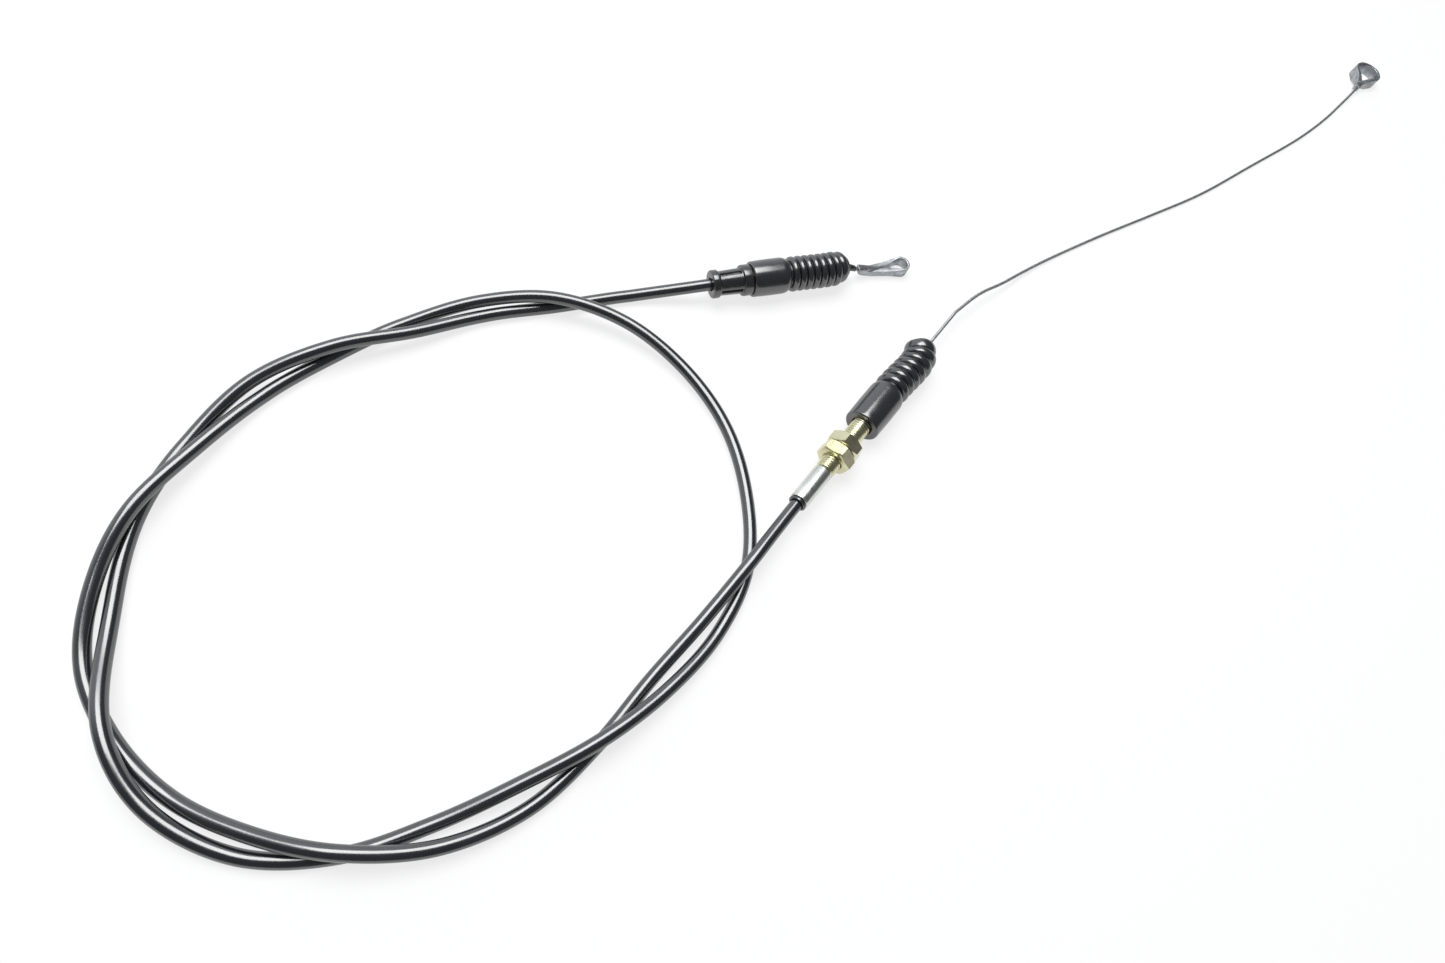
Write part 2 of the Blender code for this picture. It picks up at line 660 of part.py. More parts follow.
def make_end_a():
    axis = axis_empty("end_a_axis", place_a(0.0))
    sliding = axis_empty("wire_a_axis", place_a(0.0))
    make_ferrule_a(axis)
    make_liner("guide_liner_a", SOCKET_DEPTH_A, FERRULE_A_END + LINER_STICKS_OUT, axis)
    make_boot(
        "bellows_boot_a", BOOT_A_PLACE, BARREL_LENGTH_A, RIB_COUNT_A, RIB_PITCH_A,
        SPIGOT_DIAMETER, LEAN_A, TIP_SHIFT_A, axis,
    )
    make_sleeve_a(sliding)
    eye = axis_empty("eye_a_axis", place_a(EYE_A_PLACE))
    make_eye(
        "loop_eye_a", EYE_A_LENGTH, EYE_A_WIDTH, EYE_A_BAND, EYE_A_WALL, EYE_A_HOLE_LENGTH, EYE_A_NECK,
        (EYE_A_FLARE_START, EYE_A_FLARE_END), eye, lambda x: droop(EYE_A_PLACE + x),
    )
    make_wire_a()


def make_end_b():
    axis = axis_empty("end_b_axis", place_b(0.0), AZIMUTH_B)
    make_seal_b(axis)
    make_crimp_b(axis)
    make_liner("guide_liner_b", SOCKET_DEPTH_B, ADJUSTER_END + LINER_STICKS_OUT, axis)
    make_adjuster_b(axis)
    for index, turn in enumerate(NUT_TURNS):
        make_nut(f"lock_nut_b{index + 1}", NUT_FIRST_PLACE + (NUT_THICKNESS + GAP) * index, turn)
    make_boot(
        "bellows_boot_b", BOOT_B_PLACE, BARREL_LENGTH_B, RIB_COUNT_B, RIB_PITCH_B,
        THREAD_DIAMETER, LEAN_B, TIP_SHIFT_B, axis,
    )
    eye = axis_empty("eye_b_axis", (EYE_B[0], EYE_B[1], EYE_B_BAND / 2), EYE_B_AZIMUTH)
    make_eye(
        "teardrop_eye_b", EYE_B_LENGTH, EYE_B_WIDTH, EYE_B_BAND, EYE_B_WALL, EYE_B_HOLE_LENGTH, EYE_B_NECK,
        (EYE_B_FLARE_START, EYE_B_FLARE_END), eye, lambda x: 0.0,
    )
    make_wire_b()


def main():
    clear_scene()
    make_sheath()
    make_end_a()
    make_end_b()


main()
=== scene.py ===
"""Looks of the control cable: glossy sheath, rubber bellows boots, plated fittings and stranded wire,
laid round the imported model. Lengths are in metres; +Z is up from the surface that the cable lies on."""

import math

import bmesh
import bpy
from mathutils import Matrix, Vector, noise


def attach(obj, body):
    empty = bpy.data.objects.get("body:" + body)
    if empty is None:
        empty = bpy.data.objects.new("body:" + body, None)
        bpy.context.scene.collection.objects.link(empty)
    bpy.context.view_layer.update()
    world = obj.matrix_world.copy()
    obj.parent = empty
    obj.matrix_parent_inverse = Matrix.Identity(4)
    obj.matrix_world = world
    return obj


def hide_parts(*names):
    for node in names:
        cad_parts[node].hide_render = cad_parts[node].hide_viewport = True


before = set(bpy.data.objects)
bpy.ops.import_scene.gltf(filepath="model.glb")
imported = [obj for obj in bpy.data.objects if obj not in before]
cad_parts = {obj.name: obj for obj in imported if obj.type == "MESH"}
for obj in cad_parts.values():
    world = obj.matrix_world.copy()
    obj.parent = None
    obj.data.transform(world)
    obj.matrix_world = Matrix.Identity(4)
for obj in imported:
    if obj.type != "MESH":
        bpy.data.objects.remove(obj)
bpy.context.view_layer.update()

MM = 0.001

# Camera at the photograph's viewing angle
CAMERA_AIM = Vector((-135.5, -44.0, 2.5)) * MM
CAMERA_DISTANCE = 323.07 * MM
CAMERA_TILT = math.radians(27)
CAMERA_ROLL = math.radians(25)
CAMERA_YAW = math.radians(39.568)
SENSOR_WIDTH = 36.0
FOCAL_PIXELS = 850
PHOTO_WIDTH = 1445
LENS = FOCAL_PIXELS / PHOTO_WIDTH * SENSOR_WIDTH
CLIP_START = 0.01
CLIP_END = 20.0

# Sizes that the model states
SHEATH_DIAMETER = 5.0 * MM
WIRE_DIAMETER = 1.5 * MM
GAP = 0.3 * MM
SHEATH_BORE = SHEATH_DIAMETER / 2 + GAP
LINER_BORE = 1.7 * MM
AXIS_HEIGHT = 7.7 * MM
END_A = Vector((-115.8, 41.4, 0.0)) * MM
END_B = Vector((-111.0, -60.1, 0.0)) * MM
AZIMUTH_B = math.radians(35.2)
SOCKET_DEPTH_A = 9.0 * MM
SOCKET_DEPTH_B = 8.0 * MM
WIRE_TRAVEL = 25.0 * MM
END_PLAY = 1.0 * MM

# End A, as places along its axis from the ferrule's outer face
FLANGE_WIDTH = 3.0 * MM
FLANGE_DIAMETER = 11.7 * MM
GROOVE_WIDTH = 10.4 * MM
GROOVE_DIAMETER = 10.4 * MM
GROOVE_TAPER = 0.15 * MM
COLLAR_WIDTH = 4.0 * MM
COLLAR_DIAMETER = 13.0 * MM
COLLAR_A = FLANGE_WIDTH + GROOVE_WIDTH
SPIGOT_A = COLLAR_A + COLLAR_WIDTH
SPIGOT_LENGTH = 13.0 * MM
SPIGOT_DIAMETER = 9.0 * MM
FLUTE_COUNT = 4
FLUTE_WIDTH = 1.3 * MM
FLUTE_DEPTH = 0.9 * MM
FLUTE_TURN = math.radians(6)
FLUTE_MARGIN = 0.5 * MM
FLUTE_WALL = 0.2 * MM
FLUTE_START = FLANGE_WIDTH + FLUTE_MARGIN
FLUTE_END = COLLAR_A - FLUTE_MARGIN
FLANGE_ROUND = 0.8 * MM
FLANGE_BACK_ROUND = 0.7 * MM
FLANGE_SLOPE = 0.3 * MM
GROOVE_FILLET = 0.4 * MM
SHOULDER_FILLET = 0.3 * MM
COLLAR_ROUND = 0.8 * MM
COLLAR_BACK_ROUND = 0.5 * MM
SPIGOT_ROUND = 0.4 * MM
BORE_ROUND = 0.3 * MM
BOOT_A_PLACE = SPIGOT_A + GAP
SLEEVE_LENGTH = 5.2 * MM
SLEEVE_DIAMETER = 3.3 * MM
SLEEVE_TIP_DIAMETER = 2.7 * MM
SLEEVE_PLAY = 0.1 * MM
SLEEVE_ROUND = 0.25 * MM
SLEEVE_TIP_ROUND = 0.3 * MM
SLEEVE_CRUSH = 0.14
SLEEVE_END_STEEPNESS = 14
SLEEVE_OVAL = 0.05
SLEEVE_TWIST = 3
BARE_WIRE_A = 1.6 * MM
DROOP_LENGTH = 15.0 * MM

# End B, as places along its axis from the crimp tube's outer face
SEAL_LENGTH = 1.0 * MM
SEAL_DIAMETER = 7.2 * MM
SEAL_ROUND = 0.35 * MM
SEAL_BACK_ROUND = 0.2 * MM
SEAL_BORE_ROUND = 0.1 * MM
CRIMP_LENGTH = 16.8 * MM
CRIMP_DIAMETER = 7.8 * MM
CRIMP_TAPER = 0.1 * MM
CRIMP_ROUND = 0.5 * MM
THREAD_DIAMETER = 8.0 * MM
THREAD_PITCH = 1.25 * MM
THREAD_DEPTH = 0.3 * MM
THREAD_CHAMFER = 0.7 * MM
THREAD_SHARPNESS = 1.15
THREAD_STEPS = 8
THREAD_LENGTH = 34.0 * MM
THREAD_START = CRIMP_LENGTH + GAP
THREAD_END = THREAD_START + THREAD_LENGTH
NOSE_LENGTH = 9.0 * MM
NOSE_DIAMETER = 6.4 * MM
NUT_ACROSS_FLATS = 13.0 * MM
NUT_THICKNESS = 5.5 * MM
NUT_PLAY = 0.05 * MM
NUT_FACE_INSET = 0.2 * MM
NUT_CONE = math.radians(30)
NUT_EASE = 0.12 * MM
NUT_LEAD_DEPTH = 0.35 * MM
NUT_LEAD_WIDTH = 0.45 * MM
NUT_FIRST_PLACE = 23.0 * MM
NUT_TURNS = (math.radians(14), math.radians(-7))
BOOT_B_PLACE = 44.3 * MM

# Bellows boots. The cap's edge is in millimetres along from the boot's end and out from the cap.
BARREL_DIAMETER = 15.2 * MM
MOUTH_DIAMETER = 14.8 * MM
BARREL_EDGE = 0.8 * MM
BARREL_SHOULDER = 3.6 * MM
NECK_FLAT = 0.7 * MM
RIB_DIAMETER = 14.8 * MM
LAST_RIB_DIAMETER = 13.4 * MM
RIB_VALLEY_DIAMETER = 11.4 * MM
CAP_THICKNESS = 1.8 * MM
CAP_DIAMETER = 9.6 * MM
CAP_GROOVE = 0.3 * MM
CAP_STEP_WIDTH = 0.3 * MM
CAP_STEP_HEIGHT = 0.1 * MM
CAP_EDGE = [(-0.5, 0.0), (-0.15, -0.35), (0.0, -0.9)]
BOOT_WALL = 1.3 * MM
WIPER_CLEARANCE = 0.35 * MM
LIP_LEAD_WIDTH = 0.25 * MM
LIP_LEAD_DEPTH = 0.2 * MM
SEAT_LEAD_WIDTH = 0.3 * MM
SEAT_LEAD_DEPTH = 0.5 * MM
MOUTH_FLAT = 0.1 * MM
RIB_FULLNESS = 0.85
BEND_SHARPNESS = 6
TILT_START = 0.45
BOOT_A = {
    "barrel": 17.6 * MM,
    "ribs": 8,
    "pitch": 3.2 * MM,
    "seat": SPIGOT_DIAMETER / 2 + GAP,
    "lean": 0.3 * MM,
    "tip_shift": 0.8 * MM,
    "tilt": math.radians(9),
}
BOOT_B = {
    "barrel": 22.4 * MM,
    "ribs": 7,
    "pitch": 4.05 * MM,
    "seat": THREAD_DIAMETER / 2 + GAP,
    "lean": 1.2 * MM,
    "tip_shift": 2.4 * MM,
    "tilt": math.radians(30),
}
BOOT_A_END = BOOT_A_PLACE + BOOT_A["barrel"] + BOOT_A["ribs"] * BOOT_A["pitch"] + CAP_THICKNESS
BOOT_B_END = BOOT_B_PLACE + BOOT_B["barrel"] + BOOT_B["ribs"] * BOOT_B["pitch"] + CAP_THICKNESS

# Eyes: the two forms are in millimetres, and the waves are in waves for each metre
EYE_A = {
    "length": 26.0,
    "width": 7.8,
    "band": 5.2,
    "wall": 1.1,
    "hole": 11.0,
    "neck": 4.5,
    "flare": (13.0, 24.0),
}
EYE_B = {
    "length": 25.4,
    "width": 15.7,
    "band": 6.0,
    "wall": 1.5,
    "hole": 17.0,
    "neck": 4.0,
    "flare": (4.0, 11.0),
}
EYE_B_PLACE = Vector((325.5, 125.7, 0.0)) * MM
EYE_B_AZIMUTH = math.radians(33.2)
EYE_A_SEED = 3.1
EYE_B_SEED = 7.4
EYE_EDGE_ROUND = 0.28 * MM
EYE_EDGE_SHARE = 0.3
HOLE_SEAM = 0.02 * MM
WEAR_WAVES = 260
WEAR_HEIGHT = 0.16 * MM
INNER_WEAR_SALT = 9
PIT_WAVES = 500
PIT_DEPTH = 0.05 * MM
NECK_DIAMETER = 3.1 * MM
NECK_BORE_DEPTH = 3.6 * MM
NECK_APPROACH = 3.0 * MM
SLEEVE_START = BOOT_A_END + GAP
EYE_A_START = SLEEVE_START + SLEEVE_LENGTH + BARE_WIRE_A
EYE_A_HEIGHT = EYE_A["band"] * MM / 2

# Route of the sheath between the two fittings, in millimetres, as the model has it
SHEATH_ROUTE = [
    (-120, 41.4, 7.6), (-147, 44.5, 2.7), (-180, 44, 2.5), (-208, 44, 2.5), (-235, 39, 5.5),
    (-263, 35.5, 8.4), (-291.5, 27.5, 5.6), (-313.5, 9, 2.5), (-330, -16, 2.5), (-338.5, -50, 2.9),
    (-339.6, -84, 8.4), (-331, -108, 5.7), (-310, -127.5, 2.5), (-283, -135.5, 2.5),
    (-256, -134.5, 2.5), (-229, -130.5, 5.5), (-203, -125, 8.4), (-178, -115, 5.4), (-154.5, -100, 2.5),
    (-136.5, -79, 2.5), (-128, -51, 2.5), (-127.5, -21, 2.5), (-137, 6, 4.3), (-155, 29, 7.3),
    (-180, 44, 8.4), (-208, 49, 5.5), (-236, 45.5, 2.5), (-263, 35.5, 2.5), (-289, 22.5, 2.5),
    (-310.5, 4.5, 5.5), (-330, -16, 8.4), (-341.5, -37, 5.5), (-346.2, -60.5, 2.5), (-340, -84, 2.5),
    (-326, -106, 2.5), (-306, -122.5, 5.4), (-282.5, -135, 8.4), (-255.5, -141.5, 5.5),
    (-228, -138, 2.5), (-203, -125, 2.5), (-181.5, -109.5, 2.5), (-158.5, -94.5, 5.4),
    (-136.5, -79, 8.4), (-124, -69.6, 8.1), (-114.5, -62.6, 7.8),
]

# Route of the bare wire from its straight run at end B to the eye, in millimetres, as the model has it
WIRE_ROUTE = [
    (6, 18.8, 6.4), (22, 24, 4.3), (38, 30, 2.2), (56.5, 36, 1.0), (92.5, 45.4, 0.75),
    (128, 53.6, 0.75), (166.5, 63, 0.75), (211, 77.6, 0.75), (259, 93.8, 0.75), (288, 106, 0.75),
    (306, 115, 1.0),
]

# Surroundings: a pale wall stands in one direction from the object, and the rest is dim
WALL_DIRECTION = Vector((-0.35, 0.92, 0.15)).normalized()
WALL_EDGE = (0.3, 0.9)
WALL_COLOUR = (0.92, 0.96, 1.0, 1.0)
WALL_STRENGTH = 1.05
DIM_STRENGTH = 0.13
WHITE = (1.0, 1.0, 1.0, 1.0)

# Overhead lamp
LAMP_PLACE = (-0.17, 0.41, 1.2)
LAMP_AIM = (-0.15, 0.0, 0.0)
LAMP_SIZE = (1.1, 0.78)
LAMP_POWER = 19

# Floor, and the shares of its glow at the nearer and the farther of two distances from the origin
FLOOR_REACH = 6.0
FLOOR_COLOUR = (0.9, 0.9, 0.9)
FLOOR_ROUGHNESS = 0.7
GLOW_NEAR = 0.78
GLOW_FAR = 1.0
GLOW_PLACES = (0.4, 1.4)

# The part of a noise texture's range that is used
NOISE_LOW = 0.35
NOISE_HIGH = 0.65

# How finely the meshes are made, and the wire's strands
SIDES = 64
FERRULE_SIDES = 288
SHEATH_STEP = 2.0 * MM
WIRE_STEP = 0.7 * MM
STRANDS = 12
STRAND_LAY = 11.0 * MM
STRAND_RELIEF = 0.08


def make_camera():
    data = bpy.data.cameras.new("photo_camera")
    data.sensor_fit = "HORIZONTAL"
    data.sensor_width = SENSOR_WIDTH
    data.lens = LENS
    data.clip_start = CLIP_START
    data.clip_end = CLIP_END
    ahead = Vector((0.0, math.sin(CAMERA_TILT), -math.cos(CAMERA_TILT)))
    level_right = Vector((1.0, 0.0, 0.0))
    level_up = Vector((0.0, math.cos(CAMERA_TILT), math.sin(CAMERA_TILT)))
    right = level_right * math.cos(CAMERA_ROLL) + level_up * math.sin(CAMERA_ROLL)
    up = level_up * math.cos(CAMERA_ROLL) - level_right * math.sin(CAMERA_ROLL)
    turn = Matrix.Rotation(-CAMERA_YAW, 3, "Z")
    right, up, ahead = turn @ right, turn @ up, turn @ ahead
    camera = bpy.data.objects.new("photo_camera", data)
    bpy.context.scene.collection.objects.link(camera)
    facing = Matrix((right, up, -ahead)).transposed().to_4x4()
    camera.matrix_world = Matrix.Translation(CAMERA_AIM - ahead * CAMERA_DISTANCE) @ facing
    bpy.context.scene.camera = camera


# Points and routes

def place_a(along, height=AXIS_HEIGHT):
    """Point on end A's axis."""
    return END_A + Vector((along, 0.0, height))


def place_b(along):
    """Point on end B's axis."""
    ahead = Vector((math.cos(AZIMUTH_B), math.sin(AZIMUTH_B), 0.0))
    return END_B + Vector((0.0, 0.0, AXIS_HEIGHT)) + ahead * along


def directions(place):
    """Directions ahead and to the left of an end's axis."""
    ahead = (place(1.0) - place(0.0)).normalized()
    return ahead, Vector((-ahead.y, ahead.x, 0.0))


def eased(value, start, stop):
    """A smooth rise from 0 at start to 1 at stop."""
    share = min(1.0, max(0.0, (value - start) / (stop - start)))
    return share * share * (3 - 2 * share)


def droop(along):
    """How far the wire at end A hangs below its axis, beyond the boot."""
    start = BOOT_A_END - CAP_THICKNESS / 2
    return (EYE_A_HEIGHT - AXIS_HEIGHT) * eased(along, start, start + DROOP_LENGTH)


def curve_through(points):
    """Closely spaced points on a smooth curve through the given ones."""
    ends = [points[0] * 2 - points[1]] + points + [points[-1] * 2 - points[-2]]
    steps = 24
    dense = []
    for before, start, stop, after in zip(ends, ends[1:], ends[2:], ends[3:]):
        pairs = ((before, start), (start, stop), (stop, after))
        gaps = [(there - here).length ** 0.5 for here, there in pairs]
        middle = (stop - start) / gaps[1]
        slope_in = (start - before) / gaps[0] - (stop - before) / (gaps[0] + gaps[1]) + middle
        slope_out = middle - (after - start) / (gaps[1] + gaps[2]) + (after - stop) / gaps[2]
        for number in range(steps):
            t = number / steps
            dense.append(
                start * (2 * t**3 - 3 * t**2 + 1)
                + slope_in * gaps[1] * (t**3 - 2 * t**2 + t)
                + stop * (3 * t**2 - 2 * t**3)
                + slope_out * gaps[1] * (t**3 - t**2)
            )
    dense.append(points[-1])
    return dense


def smooth_route(points, step, lowest):
    """Evenly spaced points on a smooth curve through the given ones, none of them lower than asked."""
    dense = curve_through(points)
    lengths = [0.0]
    for here, there in zip(dense, dense[1:]):
        lengths.append(lengths[-1] + (there - here).length)
    count = max(2, round(lengths[-1] / step))
    even = []
    index = 0
    for number in range(count + 1):
        target = lengths[-1] * number / count
        while index < len(lengths) - 2 and lengths[index + 1] < target:
            index += 1
        share = (target - lengths[index]) / (lengths[index + 1] - lengths[index])
        place = dense[index].lerp(dense[index + 1], min(1.0, share))
        place.z = max(place.z, lowest)
        even.append(place)
    return even


# Meshes

def shown(name, verts, faces, material, body, node, sharp=40):
    """A smooth-shaded piece that stands for a node and rides on its body."""
    mesh = bpy.data.meshes.new(name)
    mesh.from_pydata([tuple(v) for v in verts], [], faces)
    tidy = bmesh.new()
    tidy.from_mesh(mesh)
    bmesh.ops.recalc_face_normals(tidy, faces=tidy.faces)
    tidy.to_mesh(mesh)
    tidy.free()
    mesh.shade_smooth()
    mesh.set_sharp_from_angle(angle=math.radians(sharp))
    mesh.materials.append(material)
    piece = bpy.data.objects.new(name, mesh)
    bpy.context.scene.collection.objects.link(piece)
    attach(piece, body)
    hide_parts(node)
    return piece


def skin(rings, wrapped):
    """Vertices and faces of a skin through rings of points. Wrapped joins the last ring to the first."""
    verts = [point for ring in rings for point in ring]
    sides = len(rings[0])
    faces = []
    pairs = len(rings) if wrapped else len(rings) - 1
    for index in range(pairs):
        here = index * sides
        there = (index + 1) % len(rings) * sides
        for side in range(sides):
            after = (side + 1) % sides
            faces.append((here + side, here + after, there + after, there + side))
    if not wrapped:
        faces.append(tuple(range(sides)))
        faces.append(tuple(range(len(verts) - sides, len(verts))))
    return verts, faces


def softened(corners, steps=4):
    """A closed outline with rounded corners: each is (along, radius, how far its rounding reaches)."""
    outline = []
    count = len(corners)
    for index, (x, r, reach) in enumerate(corners):
        if reach == 0:
            outline.append((x, r))
            continue
        here = Vector((x, r))
        before = Vector(corners[index - 1][:2]) - here
        after = Vector(corners[(index + 1) % count][:2]) - here
        start = here + before.normalized() * min(reach, before.length * 0.5)
        stop = here + after.normalized() * min(reach, after.length * 0.5)
        for step in range(steps + 1):
            t = step / steps
            point = start * (1 - t) ** 2 + here * 2 * t * (1 - t) + stop * t**2
            outline.append((point.x, point.y))
    return outline


def round_ring(centre, across, radius, sides=SIDES):
    """Points of a circle in the upright plane through across.

    The radius is a number, or a function of the angle."""
    points = []
    for side in range(sides):
        angle = 2 * math.pi * side / sides
        reach = radius(angle) if callable(radius) else radius
        rise = Vector((0, 0, reach * math.sin(angle)))
        points.append(centre + across * (reach * math.cos(angle)) + rise)
    return points


def turned_rings(outline, place):
    """Rings of points for an outline turned about an end's axis."""
    left = directions(place)[1]
    return [round_ring(place(along), left, radius) for along, radius in outline]


# Materials

def new_material(name, colour, roughness, metallic):
    material = bpy.data.materials.new(name)
    material.use_nodes = True
    shader = material.node_tree.nodes["Principled BSDF"]
    shader.inputs["Base Color"].default_value = (*colour, 1.0)
    shader.inputs["Roughness"].default_value = roughness
    shader.inputs["Metallic"].default_value = metallic
    return material, shader


def noise_of(material, scale, detail=3.0):
    """A noise texture in object space, its scale in features per metre."""
    nodes, links = material.node_tree.nodes, material.node_tree.links
    coordinates = nodes.new("ShaderNodeTexCoord")
    texture = nodes.new("ShaderNodeTexNoise")
    texture.inputs["Scale"].default_value = scale
    texture.inputs["Detail"].default_value = detail
    links.new(coordinates.outputs["Object"], texture.inputs["Vector"])
    return texture.outputs["Fac"]


def ramp_of(material, source, stops):
    """A colour ramp: stops are (place, colour)."""
    nodes, links = material.node_tree.nodes, material.node_tree.links
    ramp = nodes.new("ShaderNodeValToRGB")
    while len(ramp.color_ramp.elements) < len(stops):
        ramp.color_ramp.elements.new(0.5)
    for element, (place, colour) in zip(ramp.color_ramp.elements, stops):
        element.position = place
        element.color = (*colour, 1.0)
    links.new(source, ramp.inputs["Fac"])
    return ramp.outputs["Color"]


def range_of(material, source, low, high):
    """The source's middle range mapped to low and high."""
    nodes, links = material.node_tree.nodes, material.node_tree.links
    mapped = nodes.new("ShaderNodeMapRange")
    mapped.inputs["From Min"].default_value = NOISE_LOW
    mapped.inputs["From Max"].default_value = NOISE_HIGH
    mapped.inputs["To Min"].default_value = low
    mapped.inputs["To Max"].default_value = high
    links.new(source, mapped.inputs["Value"])
    return mapped.outputs["Result"]


def add_bump(material, shader, source, depth):
    """Surface relief of the given depth in metres."""
    nodes, links = material.node_tree.nodes, material.node_tree.links
    bump = nodes.new("ShaderNodeBump")
    bump.inputs["Distance"].default_value = depth
    links.new(source, bump.inputs["Height"])
    links.new(bump.outputs["Normal"], shader.inputs["Normal"])


def mottled(name, stops, roughness, metallic, scales, bump_depth):
    """Material whose colour, roughness and relief each vary at their own scale."""
    colour_scale, roughness_scale, bump_scale = scales
    material, shader = new_material(name, stops[0][1], roughness[0], metallic)
    links = material.node_tree.links
    colour = ramp_of(material, noise_of(material, colour_scale), stops)
    links.new(colour, shader.inputs["Base Color"])
    rough = range_of(material, noise_of(material, roughness_scale, 5.0), *roughness)
    links.new(rough, shader.inputs["Roughness"])
    add_bump(material, shader, noise_of(material, bump_scale, 4.0), bump_depth)
    return material, shader


def glossy_black(name, stops, roughness, scales, bump_depth, gloss):
    """Mottled black plastic or rubber. Gloss is its index of refraction and its specular level."""
    index, level = gloss
    material, shader = mottled(name, stops, roughness, 0.0, scales, bump_depth)
    shader.inputs["IOR"].default_value = index
    shader.inputs["Specular IOR Level"].default_value = level
    return material


def sheath_material():
    stops = [(0.3, (0.007, 0.008, 0.011)), (0.75, (0.014, 0.015, 0.020))]
    return glossy_black("sheath_pvc", stops, (0.19, 0.23), (70, 120, 500), 0.000002, (1.65, 1.0))


def rubber_material():
    stops = [(0.3, (0.009, 0.009, 0.012)), (0.75, (0.020, 0.020, 0.024))]
    return glossy_black("boot_rubber", stops, (0.2, 0.24), (160, 200, 900), 0.000003, (1.65, 1.0))


def moulded_material():
    stops = [(0.3, (0.009, 0.009, 0.011)), (0.75, (0.018, 0.018, 0.021))]
    return glossy_black("moulded_black", stops, (0.18, 0.25), (200, 300, 1600), 0.000006, (1.6, 1.0))


def sleeve_material():
    stops = [(0.3, (0.01, 0.01, 0.012)), (0.75, (0.03, 0.03, 0.032))]
    return glossy_black("sleeve_black", stops, (0.3, 0.45), (400, 700, 2400), 0.00002, (1.5, 0.8))


def liner_material():
    stops = [(0.3, (0.72, 0.72, 0.68)), (0.75, (0.82, 0.82, 0.78))]
    return mottled("liner_white", stops, (0.3, 0.45), 0.0, (200, 500, 1500), 0.00001)[0]


def yellow_zinc_material():
    stops = [
        (0.3, (0.55, 0.53, 0.33)),
        (0.48, (0.67, 0.64, 0.42)),
        (0.62, (0.75, 0.71, 0.51)),
        (0.75, (0.62, 0.55, 0.38)),
    ]
    return mottled("zinc_yellow", stops, (0.25, 0.32), 1.0, (120, 300, 1200), 0.000004)[0]


def silver_zinc_material():
    stops = [(0.3, (0.6, 0.62, 0.59)), (0.7, (0.74, 0.75, 0.72))]
    return mottled("zinc_silver", stops, (0.26, 0.34), 1.0, (150, 250, 900), 0.000003)[0]


def eye_zinc_material():
    stops = [(0.3, (0.25, 0.26, 0.28)), (0.55, (0.4, 0.42, 0.44)), (0.75, (0.54, 0.56, 0.58))]
    return mottled("eye_zinc", stops, (0.4, 0.54), 1.0, (420, 700, 1000), 0.00004)[0]


def wire_material():
    stops = [(0.3, (0.36, 0.36, 0.37)), (0.7, (0.55, 0.55, 0.56))]
    return mottled("wire_steel", stops, (0.38, 0.5), 1.0, (900, 1500, 3000), 0.00001)[0]


# Cords

def make_sheath(material):
    """The sheath, from its seat in end A round two loose turns to its seat in end B."""
    outside = [Vector(place) * MM for place in SHEATH_ROUTE]
    seat_a = SOCKET_DEPTH_A - GAP
    seat_b = SOCKET_DEPTH_B - GAP
    route = smooth_route([place_a(0.0)] + outside + [place_b(0.0)], SHEATH_STEP, SHEATH_DIAMETER / 2)
    points = [place_a(seat_a), place_a(seat_a / 2)] + route + [place_b(seat_b / 2), place_b(seat_b)]
    curve = bpy.data.curves.new("sheath", "CURVE")
    curve.dimensions = "3D"
    curve.bevel_depth = SHEATH_DIAMETER / 2
    curve.bevel_resolution = 10
    curve.use_fill_caps = True
    spline = curve.splines.new("POLY")
    spline.points.add(len(points) - 1)
    for target, place in zip(spline.points, points):
        target.co = (*place, 1.0)
    curve.materials.append(material)
    piece = bpy.data.objects.new("sheath", curve)
    bpy.context.scene.collection.objects.link(piece)
    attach(piece, "cable")
    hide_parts("outer_cable")


def stranded(points, diameter):
    """Mesh of a stranded wire along the points: one lobe for each outer strand, twisted round it."""
    sides = STRANDS * 4
    lobe = diameter / 2 * STRAND_RELIEF
    rings = []
    travelled = 0.0
    side_way = Vector((0.0, 0.0, 1.0))
    for index, point in enumerate(points):
        before = points[max(0, index - 1)]
        after = points[min(len(points) - 1, index + 1)]
        ahead = (after - before).normalized()
        if index > 0:
            travelled += (point - points[index - 1]).length
        side_way = (side_way - ahead * side_way.dot(ahead)).normalized()
        other_way = ahead.cross(side_way)
        twist = 2 * math.pi * travelled / STRAND_LAY
        ring = []
        for side in range(sides):
            angle = 2 * math.pi * side / sides
            radius = diameter / 2 - lobe * (1 - abs(math.cos(angle * STRANDS / 2)))
            turned = angle + twist
            aside = side_way * (radius * math.cos(turned))
            ring.append(point + aside + other_way * (radius * math.sin(turned)))
        rings.append(ring)
    return skin(rings, wrapped=False)


def make_wire_b(material):
    """The free wire at end B, from inside the adjuster to its eye."""
    ahead = Vector((math.cos(EYE_B_AZIMUTH), math.sin(EYE_B_AZIMUTH), 0.0))
    neck = EYE_B_PLACE + Vector((0.0, 0.0, EYE_B["band"] * MM / 2))
    start = place_b(SOCKET_DEPTH_B + WIRE_TRAVEL + END_PLAY)
    bend = place_b(BOOT_B_END + WIRE_TRAVEL + END_PLAY)
    count = round((bend - start).length / WIRE_STEP)
    straight = [start.lerp(bend, number / count) for number in range(count)]
    tail = [neck - ahead * NECK_APPROACH, neck + ahead * (NECK_BORE_DEPTH - GAP)]
    loose = [bend] + [Vector(place) * MM for place in WIRE_ROUTE] + tail
    points = straight + smooth_route(loose, WIRE_STEP, WIRE_DIAMETER / 2)
    verts, faces = stranded(points, WIRE_DIAMETER)
    wire = shown("wire_b", verts, faces, material, "wire_b", "inner_wire_b", sharp=60)
    return wire, points


